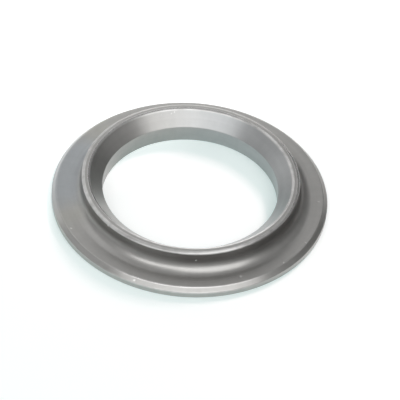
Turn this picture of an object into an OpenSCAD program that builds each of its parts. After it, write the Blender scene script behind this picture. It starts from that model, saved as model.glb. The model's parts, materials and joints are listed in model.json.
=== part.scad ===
// Collared washer with a conical seat, turned in one piece from steel bar.
// A thin round flange carries a raised collar. The collar's mouth is a cone that leads down into a plain bore.
// The origin is on the axis, at the middle of the flat base, and the collar points up.
// Every section is drawn with the radius along x and the height above the base along y.

/* [Flange] */
// Outside diameter of the flange
flange_d = 55; // [52:0.5:70]
// Thickness of the flange
flange_t = 2; // [1.2:0.1:3.2]
// Bevel round the flange's top edge, cut at 45 degrees
flange_bevel = 0.85; // [0.2:0.05:1.5]

/* [Collar] */
// Outside diameter of the collar
collar_d = 43.3; // [42.4:0.1:47]
// Height of the washer, from its base to the flat land on top of the collar
washer_h = 6.2; // [5:0.1:10]
// Radius of the fillet where the collar rises from the flange
root_r = 2.5; // [0.5:0.1:3]
// Width of the bevel round the collar's top edge, measured along the land
collar_bevel_w = 0.5; // [0.2:0.05:0.8]
// Height of that bevel, measured down the collar's wall
collar_bevel_h = 0.25; // [0.1:0.05:0.6]

/* [Bore and seat] */
// Diameter of the bore
bore_d = 35; // [30:0.5:39]
// Diameter of the conical seat at its mouth, where it meets the land
seat_d = 40.5; // [36:0.1:41.8]
// Included angle of the conical seat
seat_angle = 90; // [60:5:120]

/* [Edges] */
// Break on the edges at the base, round the rim and round the bore
foot_break = 0.05; // [0.05:0.05:0.3]
// Break on the edge of the seat's mouth, measured along the land and along the cone
mouth_break = 0.2; // [0.05:0.05:0.3]

/* [Hidden] */
$fn = 180;
steel_grey = [0.6, 0.6, 0.59];
flange_r = flange_d / 2;
collar_r = collar_d / 2;
bore_r = bore_d / 2;
seat_r = seat_d / 2;
seat_half_angle = seat_angle / 2;
seat_depth = (seat_r - bore_r) / tan(seat_half_angle);
// The fillet stops short of the collar's bevel above it and of the flange's bevel beside it
collar_wall_h = washer_h - collar_bevel_h - flange_t;
flange_face_w = flange_r - flange_bevel - collar_r;
root_fillet_r = min(root_r, collar_wall_h, flange_face_w);
// The hole is cut this far past the base and the land
run_out = 1;

// The flange as a solid disc, with its top edge bevelled and its bottom edge broken
module flange_section() {
    polygon([
        [0, 0],
        [flange_r - foot_break, 0],
        [flange_r, foot_break],
        [flange_r, flange_t - flange_bevel],
        [flange_r - flange_bevel, flange_t],
        [0, flange_t],
    ]);
}

// The collar as a solid boss from the base up, with its top edge bevelled
module collar_section() {
    polygon([
        [0, 0],
        [collar_r, 0],
        [collar_r, washer_h - collar_bevel_h],
        [collar_r - collar_bevel_w, washer_h],
        [0, washer_h],
    ]);
}

// The hollow round corner that a round-nosed tool leaves between flange and collar
module root_fillet_section() {
    translate([collar_r, flange_t])
        difference() {
            square(root_fillet_r);
            translate([root_fillet_r, root_fillet_r])
                circle(root_fillet_r);
        }
}

// The way through: a broken edge at the base, the bore, the cone, and a broken edge at the cone's mouth
module hole_section() {
    mouth_break_slope = (1 + sin(seat_half_angle)) / cos(seat_half_angle);
    polygon([
        [0, -run_out],
        [bore_r + foot_break + run_out, -run_out],
        [bore_r, foot_break],
        [bore_r, washer_h - seat_depth],
        [seat_r - mouth_break * sin(seat_half_angle), washer_h - mouth_break * cos(seat_half_angle)],
        [seat_r + mouth_break + run_out * mouth_break_slope, washer_h + run_out],
        [0, washer_h + run_out],
    ]);
}

module washer() {
    color(steel_grey)
        rotate_extrude()
            difference() {
                union() {
                    flange_section();
                    collar_section();
                    root_fillet_section();
                }
                hole_section();
            }
}

washer();
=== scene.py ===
import json
import math

import bpy
from mathutils import Matrix, Vector, kdtree


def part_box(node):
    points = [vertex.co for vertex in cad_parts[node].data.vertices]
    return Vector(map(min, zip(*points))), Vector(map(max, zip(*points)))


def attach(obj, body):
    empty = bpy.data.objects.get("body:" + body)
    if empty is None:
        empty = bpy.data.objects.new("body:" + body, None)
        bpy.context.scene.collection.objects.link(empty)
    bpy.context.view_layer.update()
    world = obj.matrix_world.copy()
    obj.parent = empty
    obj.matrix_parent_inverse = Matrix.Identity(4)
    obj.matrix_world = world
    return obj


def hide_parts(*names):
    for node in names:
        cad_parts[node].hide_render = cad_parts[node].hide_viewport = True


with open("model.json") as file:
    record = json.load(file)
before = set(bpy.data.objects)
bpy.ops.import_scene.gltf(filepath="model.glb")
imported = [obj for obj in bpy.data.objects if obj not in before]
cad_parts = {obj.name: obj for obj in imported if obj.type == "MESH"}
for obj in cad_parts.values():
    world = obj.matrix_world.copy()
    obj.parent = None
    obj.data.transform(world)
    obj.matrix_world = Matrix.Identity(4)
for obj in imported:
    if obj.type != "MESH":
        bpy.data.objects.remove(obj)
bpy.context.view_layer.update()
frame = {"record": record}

# Washer
# A ring turned in one piece from steel bar: a thin flange, and a raised collar with a hollow round corner at
# its root. A cone leads down from the collar's mouth into a plain bore. It lies loose on its flat base.
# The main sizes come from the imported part, and the small ones are as in its source.
mm = 0.001
mounts = {mount["name"]: mount for mount in frame["record"]["mounts"]}
_, top_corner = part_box("washer")
flange_r = top_corner.x
washer_h = top_corner.z
flange_t = mounts["flange_face"]["pos_m"][2]
collar_r = mounts["collar"]["dims"]["r_mm"] * mm
bore_r = mounts["bore"]["dims"]["r_mm"] * mm
flange_bevel = 0.85 * mm
root_r = 2.5 * mm
collar_bevel_w = 0.5 * mm
collar_bevel_h = 0.25 * mm
seat_r = 20.25 * mm
seat_half_angle = math.radians(45)
seat_depth = (seat_r - bore_r) / math.tan(seat_half_angle)
foot_break = 0.05 * mm
mouth_break = 0.2 * mm
sharp_r = 0.05 * mm
edge_r = 0.2 * mm

# The corners of the section, outward along the base and back over the top, each with the radius that rounds
# it and the spacing of the points on the straight that leads to it
finest = 0.13 * mm
fine = 0.25 * mm
coarse = 0.45 * mm
base_spacing = 4 * mm
mouth_in = mouth_break * math.sin(seat_half_angle)
mouth_down = mouth_break * math.cos(seat_half_angle)
section = [
    (bore_r + foot_break, 0, sharp_r, coarse),
    (flange_r - foot_break, 0, sharp_r, base_spacing),
    (flange_r, foot_break, sharp_r, fine),
    (flange_r, flange_t - flange_bevel, edge_r, fine),
    (flange_r - flange_bevel, flange_t, edge_r, fine),
    (collar_r, flange_t, root_r, fine),
    (collar_r, washer_h - collar_bevel_h, edge_r, fine),
    (collar_r - collar_bevel_w, washer_h, edge_r, fine),
    (seat_r + mouth_break, washer_h, edge_r, finest),
    (seat_r - mouth_in, washer_h - mouth_down, edge_r, fine),
    (bore_r, washer_h - seat_depth, sharp_r, fine),
    (bore_r, foot_break, sharp_r, coarse),
]


def round_corner(before, corner, after, radius, steps):
    """The arc that rounds one corner of the section, from tangent to tangent."""
    into = (corner - before).normalized()
    out = (after - corner).normalized()
    turn = math.atan2(into.x * out.y - into.y * out.x, into.dot(out))
    start = corner - into * radius * math.tan(abs(turn) / 2)
    centre = start + Vector((-into.y, into.x)) * math.copysign(radius, turn)
    return [centre + Matrix.Rotation(turn * k / steps, 2) @ (start - centre) for k in range(steps + 1)]


def turned_outline(corners, edge_steps, root_steps, narrow):
    """The section's points in order, each with 1 on a rounded edge or narrow bevel: rubbed wear and painted
    glints.
    """
    places = [Vector((r, z)) for r, z, _, _ in corners]
    outline = []
    for i, (_, _, radius, spacing) in enumerate(corners):
        steps = root_steps if radius == root_r else edge_steps
        arc = round_corner(places[i - 1], places[i], places[(i + 1) % len(places)], radius, steps)
        if outline:
            start, _ = outline[-1]
            reach = arc[0] - start
            gaps = math.ceil(reach.length / spacing)
            edge_brightening = 1.0 if reach.length < narrow else 0.0
            outline += [(start + reach * k / gaps, edge_brightening) for k in range(1, gaps)]
        outline += [(point, 1.0 if radius == edge_r else 0.0) for point in arc]
    return outline


outline = turned_outline(section, edge_steps=4, root_steps=18, narrow=0.5 * mm)
steps_round = 800
points = []
faces = []
for i in range(steps_round):
    angle = math.tau * i / steps_round
    for place, _ in outline:
        points.append(Vector((place.x * math.cos(angle), place.x * math.sin(angle), place.y)))
    this_ring = i * len(outline)
    next_ring = (i + 1) % steps_round * len(outline)
    for j in range(len(outline)):
        next_j = (j + 1) % len(outline)
        faces.append((this_ring + j, next_ring + j, next_ring + next_j, this_ring + next_j))
ring_mesh = bpy.data.meshes.new("turned_washer")
ring_mesh.from_pydata(points, [], faces)
ring_mesh.shade_smooth()

# The surface laid flat for baking, with the way round across and the way along the section up
lengths = [(outline[(j + 1) % len(outline)][0] - outline[j][0]).length for j in range(len(outline))]
along = [sum(lengths[:j]) / sum(lengths) for j in range(len(outline) + 1)]
flat = ring_mesh.uv_layers.new(name="OFBake")
flat_corners = []
for i in range(steps_round):
    this_turn = i / steps_round
    next_turn = (i + 1) / steps_round
    for low, high in zip(along, along[1:]):
        flat_corners += [this_turn, low, next_turn, low, next_turn, high, this_turn, high]
flat.data.foreach_set("uv", flat_corners)

# Small knocks from handling, each a shallow dent with bright metal: degrees round from the right, radius and
# height in mm on the surface, and width in mm
nick_depth = 0.05 * mm
nicks = [
    (-150, 26.1, 2.0, 0.5),
    (-135, 21.6, 5.8, 0.8),
    (-110, 27.1, 1.55, 0.6),
    (-84, 21.65, 4.25, 0.3),
    (-64, 25.3, 2.0, 0.7),
    (-43, 26.35, 2.0, 0.5),
    (-27, 26.25, 2.0, 0.4),
    (-4, 20.2, 6.1, 0.5),
    (0, 25.7, 2.0, 0.4),
    (103, 19.75, 5.7, 0.25),
    (105, 19.6, 5.55, 0.25),
    (111, 19.5, 5.45, 0.25),
]
near_points = kdtree.KDTree(len(points))
for index, point in enumerate(points):
    near_points.insert(point, index)
near_points.balance()
normals = [vertex.normal.copy() for vertex in ring_mesh.vertices]
bare_metal = [0.0] * len(points)
for degrees, r, z, width in nicks:
    angle = math.radians(degrees)
    centre = Vector((r * math.cos(angle), r * math.sin(angle), z)) * mm
    nick_r = width / 2 * mm
    for _, index, distance in near_points.find_range(centre, nick_r):
        depth = math.cos(math.pi / 2 * distance / nick_r)
        ring_mesh.vertices[index].co = points[index] - normals[index] * nick_depth * depth
        bare_metal[index] = depth
edge_wear_and_glint = [edge_brightening for _, edge_brightening in outline] * steps_round
for name, values in (("edge_wear_and_glint", edge_wear_and_glint), ("bare_metal", bare_metal)):
    ring_mesh.attributes.new(name, "FLOAT", "POINT").data.foreach_set("value", values)
ring_mesh.update()
ring = bpy.data.objects.new("turned_washer", ring_mesh)
bpy.context.collection.objects.link(ring)
ring.modifiers.new("flat_faces_shade_flat", "WEIGHTED_NORMAL")


class Shade:
    """An output in a material's nodes. Arithmetic on it adds the Math nodes that work out the result."""

    def __init__(self, tree, socket=None):
        self.tree = tree
        self.socket = socket

    def add(self, kind, settings, sockets, output=0):
        """Adds a node: first its settings, then each socket's value or link. Returns one output, if any."""
        node = self.tree.nodes.new("ShaderNode" + kind)
        for name, value in settings.items():
            setattr(node, name, value)
        for name, value in sockets.items():
            if isinstance(value, Shade):
                self.tree.links.new(value.socket, node.inputs[name])
            else:
                node.inputs[name].default_value = value
        return Shade(self.tree, node.outputs[output]) if node.outputs else None

    def work_out(self, operation, first, second):
        return self.add("Math", {"operation": operation}, {0: first, 1: second})

    def step(self, value, low, high):
        """Goes smoothly from 0 where the value is low to 1 where it is high. Low may be the larger number."""
        sockets = {"Value": value, "From Min": low, "From Max": high}
        return self.add("MapRange", {"interpolation_type": "SMOOTHSTEP"}, sockets)

    def mix(self, factor, first, second):
        """One colour turning into another. A Mix node's sockets for colours come after its other ones."""
        factor_socket, first_colour, second_colour, colour_result = 0, 6, 7, 2
        sockets = {factor_socket: factor, first_colour: first, second_colour: second}
        return self.add("Mix", {"data_type": "RGBA"}, sockets, colour_result)

    def __add__(self, other):
        return self.work_out("ADD", self, other)

    def __sub__(self, other):
        return self.work_out("SUBTRACT", self, other)

    def __rsub__(self, other):
        return self.work_out("SUBTRACT", other, self)

    def __mul__(self, other):
        return self.work_out("MULTIPLY", self, other)

    def __truediv__(self, other):
        return self.work_out("DIVIDE", self, other)

    def __pow__(self, other):
        return self.work_out("POWER", self, other)

    __radd__ = __add__
    __rmul__ = __mul__


steel = bpy.data.materials.new("satin_turned_steel")
steel.use_nodes = True
steel.node_tree.nodes.clear()
shade = Shade(steel.node_tree)
place = shade.add("TexCoord", {}, {}, "Object")
in_mm = shade.add("VectorMath", {"operation": "SCALE"}, {"Vector": place, "Scale": 1 / mm})
x, y, z = [shade.add("SeparateXYZ", {}, {"Vector": in_mm}, axis) for axis in "XYZ"]
radius = (x * x + y * y) ** 0.5
right = x / radius
back = y / radius


def turned_rings(pitch, wander):
    """Noise in rings round the axis: it changes over the pitch across them, and slowly along them."""
    across = shade.add("CombineXYZ", {}, {"X": radius / pitch, "Y": x * wander, "Z": y * wander})
    sockets = {"Vector": across, "W": z / pitch, "Scale": 1.0, "Detail": 2.0}
    return shade.add("TexNoise", {"noise_dimensions": "4D"}, sockets)


def cloudy(size, detail):
    """Soft noise with patches of about this size in mm."""
    return shade.add("TexNoise", {}, {"Vector": in_mm, "Scale": 1 / size, "Detail": detail})


# Turning leaves fine grooves and wider bands. Over them lie soft clouds, and faint streaks across the rings.
grooves = turned_rings(pitch=0.22, wander=0.05)
bands = turned_rings(pitch=1.1, wander=0.03)
smudges = cloudy(size=7.0, detail=3.0)
mottle = cloudy(size=1.6, detail=3.0)
streak_change = 0.02
streaks_round = 26.0
streak_place = shade.add("CombineXYZ", {}, {"X": right, "Y": back, "Z": z * streak_change})
streaks = shade.add("TexNoise", {}, {"Vector": streak_place, "Scale": streaks_round, "Detail": 3.0})

# The parts of the surface, between the section's corners in mm and with soft limits
mouth_edge = seat_r / mm
land_edge = (collar_r - collar_bevel_w) / mm
collar_edge = collar_r / mm
chamfer_edge = (flange_r - flange_bevel) / mm
top = washer_h / mm
bevel_foot = (washer_h - collar_bevel_h) / mm
seat_foot = (washer_h - seat_depth) / mm
flange_top = flange_t / mm
chamfer_foot = (flange_t - flange_bevel) / mm
in_mouth = 1 - shade.step(radius, mouth_edge - 0.35, mouth_edge + 0.05)
on_seat = in_mouth * shade.step(z, seat_foot - 0.05, seat_foot + 0.15)
in_bore = in_mouth - on_seat
outside_mouth = shade.step(radius, mouth_edge + 0.05, mouth_edge + 0.2) * shade.step(z, top - 0.2, top - 0.1)
on_land = outside_mouth * (1 - shade.step(radius, land_edge - 0.1, land_edge + 0.05))
beyond_land = shade.step(radius, land_edge - 0.35, land_edge - 0.15)
outside_collar = shade.step(radius, collar_edge - 0.4, collar_edge - 0.1)
on_flange = shade.step(radius, collar_edge + 0.15, collar_edge + 1.35)
on_rim = shade.step(radius, chamfer_edge - 0.45, chamfer_edge - 0.25)
beyond_flange = shade.step(radius, chamfer_edge + 0.05, chamfer_edge + 0.25)
on_chamfer = beyond_flange * shade.step(z, chamfer_foot - 0.1, chamfer_foot + 0.05)
front_right = shade.step(right, 0.3, 0.7) * shade.step(back, 0.1, -0.2)

# A thin blue-grey oil film with straw-coloured edges lies on the left of the flange, and a fainter one in the
# mouth on the right. Plain warm grey steel shows elsewhere; the seat is lightened as a painted highlight and
# the bore darkened as painted shade.
plain_steel = (0.455, 0.45, 0.437, 1)
oiled_steel = (0.445, 0.467, 0.482, 1)
straw_steel = (0.465, 0.462, 0.435, 1)
film_reach = 0.14 * back - 0.99 * right + 0.15 * smudges
flange_oil = on_flange * shade.step(film_reach, 0.92, 1.05)
straw_edge = on_flange * shade.step(film_reach, 0.78, 0.95) - flange_oil
mouth_oil = 0.6 * in_mouth * shade.step(right + 0.3 * back, -0.3, 0.7)
colour = shade.mix(flange_oil + mouth_oil, plain_steel, oiled_steel)
colour = shade.mix(straw_edge, colour, straw_steel)
# Painted highlight on the seat and painted shade in the bore, over the bands, mottle and streaks
tone_and_painted_light = 0.74 + 0.26 * bands + 0.14 * mottle + 0.08 * streaks + 0.09 * on_seat - 0.07 * in_bore
colour = shade.add("VectorMath", {"operation": "SCALE"}, {"Vector": colour, "Scale": tone_and_painted_light})

# Painted shade: dark steel is painted under the collar's bevel and fades out down the hollow corner. There is
# less of it on the left, it reaches lower on the right, and on the front right it covers the bevel's foot.
# More painted shade darkens the right of the chamfer and the left of the seat, and a trace the front of the
# land.
painted_shade_steel = (0.13, 0.125, 0.12, 1)
reach_down = 0.55 * shade.step(right, 0.2, 0.9)
reach_up = 0.12 * front_right - 0.2 * shade.step(back, 0.0, 0.25)
above_root = shade.step(z + reach_down, flange_top + 0.7, flange_top + 2.0)
under_bevel = above_root * (1 - shade.step(z - reach_up, bevel_foot - 0.2, bevel_foot))
collar_shade = outside_collar * under_bevel * shade.step(right, -1.75, 0.2) * (0.75 + 0.4 * smudges)
chamfer_shade = 0.45 * on_chamfer * shade.step(right, 0.75, 1.0)
seat_shade = 0.35 * on_seat * shade.step(right, -0.88, -1.0)
land_shade = 0.12 * on_land * shade.step(back, 0.1, -0.6)
# All the painted shade together
painted_shade = collar_shade + chamfer_shade + seat_shade + land_shade
colour = shade.mix(painted_shade, colour, painted_shade_steel)

# Edges are brightened in patches, partly by rubbed wear and partly as painted glints, but hardly at the back,
# along the rim away from the front, or on the front right below the bevel. A painted glint lies evenly on the
# collar's bevel on the right, and a painted sheen on the left of the chamfer. Knocks show bare metal.
wear_and_glint_steel = (0.74, 0.735, 0.725, 1)
bare_steel = (0.8, 0.8, 0.79, 1)
edge = shade.add("Attribute", {"attribute_name": "edge_wear_and_glint"}, {}, "Fac")
bare = shade.add("Attribute", {"attribute_name": "bare_metal"}, {}, "Fac")
spared = beyond_land * (0.8 * shade.step(back, 0.4, 0.8) + 0.3 * shade.step(back, -0.8, -1.0))
spared_rim = 0.8 * on_rim * shade.step(back, -1.0, -0.8)
spared_low = 0.9 * beyond_land * front_right * (1 - shade.step(z, bevel_foot, bevel_foot + 0.1))
patches = shade.step(mottle + smudges, 0.4, 1.3)
# Rubbed wear and painted glints on the edges
edge_glint_and_wear = edge * patches * (1 - spared) * (1 - spared_rim) * (1 - spared_low)
chamfer_painted_sheen = 0.35 * on_chamfer * shade.step(right, -0.5, -0.8) * (1 - edge)
on_right = shade.step(right, 0.72, 0.95) * shade.step(back, -0.25, 0.05)
bevel_painted_glint = 0.4 * edge * beyond_land * on_right * (1 - on_rim)
wear_and_glints = edge_glint_and_wear + chamfer_painted_sheen + bevel_painted_glint
colour = shade.mix(wear_and_glints, colour, wear_and_glint_steel)
colour = shade.mix(bare, colour, bare_steel)

# The steel is rougher where shade is painted and smoother where it is worn or painted bright. The grooves
# stretch its highlights.
roughness = 0.22 + 0.08 * bands + 0.06 * smudges + 0.04 * mottle
roughness = roughness + 0.12 * painted_shade - 0.05 * wear_and_glints + 0.05 * on_seat
groove_depth = 0.003 * mm
relief = shade.add("Bump", {}, {"Strength": 1.0, "Distance": groove_depth, "Height": grooves})
finish = shade.add(
    "BsdfPrincipled",
    {},
    {
        "Base Color": colour,
        "Metallic": 1.0,
        "Roughness": roughness,
        "Anisotropic": 0.5,
        "Anisotropic Rotation": 0.25,
        "Normal": relief,
    },
)
shade.add("OutputMaterial", {}, {"Surface": finish})
ring_mesh.materials.append(steel)
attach(ring, "root")
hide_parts("washer")

# Floor
# A sheet of smooth white card, far wider than the view, that the washer lies on. It glows a little where it
# is looked at, straight or in the steel, so that it shows as plain white with a pale shadow. Looked at
# straight, it glows more towards the back left, painted light that washes out the washer's shadow and leaves
# it pure white there.
floor_half = 4.0
floor_drop = 0.01 * mm
card_corners = [(-1, -1), (1, -1), (1, 1), (-1, 1)]
card_points = [(side * floor_half, depth * floor_half, -floor_drop) for side, depth in card_corners]
floor_mesh = bpy.data.meshes.new("white_card")
floor_mesh.from_pydata(card_points, [], [(0, 1, 2, 3)])
floor = bpy.data.objects.new("white_card", floor_mesh)
bpy.context.collection.objects.link(floor)
card_white = (0.8, 0.8, 0.8, 1)
faint_glow = (0.17, 0.255, 0.245, 1)
full_glow = (0.39, 0.475, 0.465, 1)
glow_start = 8 * mm
glow_end = 21 * mm
diagonal = 0.7
card = bpy.data.materials.new("white_card")
card.use_nodes = True
card.node_tree.nodes.clear()
shade = Shade(card.node_tree)
paper = shade.add("BsdfDiffuse", {}, {"Color": card_white})
seen = shade.add("LightPath", {}, {}, "Is Camera Ray")
seen_in_steel = shade.add("LightPath", {}, {}, "Is Glossy Ray")
seen_through = shade.add("LightPath", {}, {}, "Is Transmission Ray")
spot = shade.add("TexCoord", {}, {}, "Object")
across, inward = [shade.add("SeparateXYZ", {}, {"Vector": spot}, axis) for axis in "XY"]
# Painted light: extra glow seen straight towards the back left washes out the washer's shadow there
painted_light_back_left = shade.step((inward - across) * diagonal, glow_start, glow_end)
glow_colour = shade.mix(seen * painted_light_back_left, faint_glow, full_glow)
glow = shade.add("Emission", {}, {"Color": glow_colour, "Strength": seen + seen_in_steel + seen_through})
lit_paper = shade.add("AddShader", {}, {0: paper, 1: glow})
shade.add("OutputMaterial", {}, {"Surface": lit_paper})
floor_mesh.materials.append(card)

# Light
# A plain room that is lighter above and in front on the left, with four soft boxes: two in front, above the
# camera, a narrow one low behind the washer and a large weak one behind it on the left.
room_dark = 0.01
room_light = 0.58
lighter_side = (-0.26, -0.62, 0.74)
world = bpy.data.worlds.new("studio")
world.use_nodes = True
world.node_tree.nodes.clear()
shade = Shade(world.node_tree)
direction = shade.add("TexCoord", {}, {}, "Generated")
towards = shade.add("VectorMath", {"operation": "DOT_PRODUCT"}, {0: direction, 1: lighter_side}, "Value")
brightness = (room_dark + room_light) / 2 + (room_light - room_dark) / 2 * towards
sky = shade.add("Background", {}, {"Color": (1, 1, 1, 1), "Strength": brightness})
shade.add("OutputWorld", {}, {"Surface": sky})
bpy.context.scene.world = world


def soft_box(name, azimuth, elevation, width, height, radiance, distance=1.0):
    """A soft box that faces the washer, in metres. In azimuth, 0 is right, 90 behind and 270 in front."""
    lamp = bpy.data.lights.new(name, "AREA")
    lamp.shape = "RECTANGLE"
    lamp.size = width
    lamp.size_y = height
    lamp.energy = radiance * math.pi * width * height
    box = bpy.data.objects.new(name, lamp)
    turn = Matrix.Rotation(math.radians(azimuth + 90), 4, "Z")
    tilt = Matrix.Rotation(math.radians(90 - elevation), 4, "X")
    box.matrix_world = turn @ tilt @ Matrix.Translation((0, 0, distance))
    box.visible_camera = False
    bpy.context.collection.objects.link(box)
    return box


soft_box("front_left_box", azimuth=246, elevation=48, width=0.78, height=0.3, radiance=1.7)
soft_box("front_right_box", azimuth=307, elevation=53, width=0.78, height=0.8, radiance=1.25)
soft_box("back_box", azimuth=91, elevation=17, width=0.4, height=0.56, radiance=1.5)
soft_box("back_left_box", azimuth=129, elevation=33, width=1.3, height=1.3, radiance=0.37)

# A small warm lamp, nearer and behind on the right, throws the shadow on the card. It is kept out of the
# steel's reflections.
warm_light = (1.0, 0.72, 0.74)
shadow_lamp = soft_box(
    "shadow_lamp", azimuth=60, elevation=35, width=0.1, height=0.07, radiance=41.0, distance=0.4
)
shadow_lamp.data.color = warm_light
shadow_lamp.visible_glossy = False

# Camera
# A long lens, about half a metre from the washer and tipped a little to one side, looking down at it from
# the front.
view_elevation = math.radians(43.48)
view_roll = math.radians(4.48)
view_distance = 0.5526
view_offset = (2.1 * mm, -0.22 * mm)
camera_data = bpy.data.cameras.new("camera")
camera_data.sensor_width = 36
camera_data.lens = 249.3
camera = bpy.data.objects.new("camera", camera_data)
turn = Matrix.Rotation(math.pi / 2 - view_elevation, 4, "X") @ Matrix.Rotation(view_roll, 4, "Z")
camera.matrix_world = turn @ Matrix.Translation((*view_offset, view_distance))
bpy.context.collection.objects.link(camera)
bpy.context.scene.camera = camera
bpy.context.scene.view_settings.view_transform = "Standard"
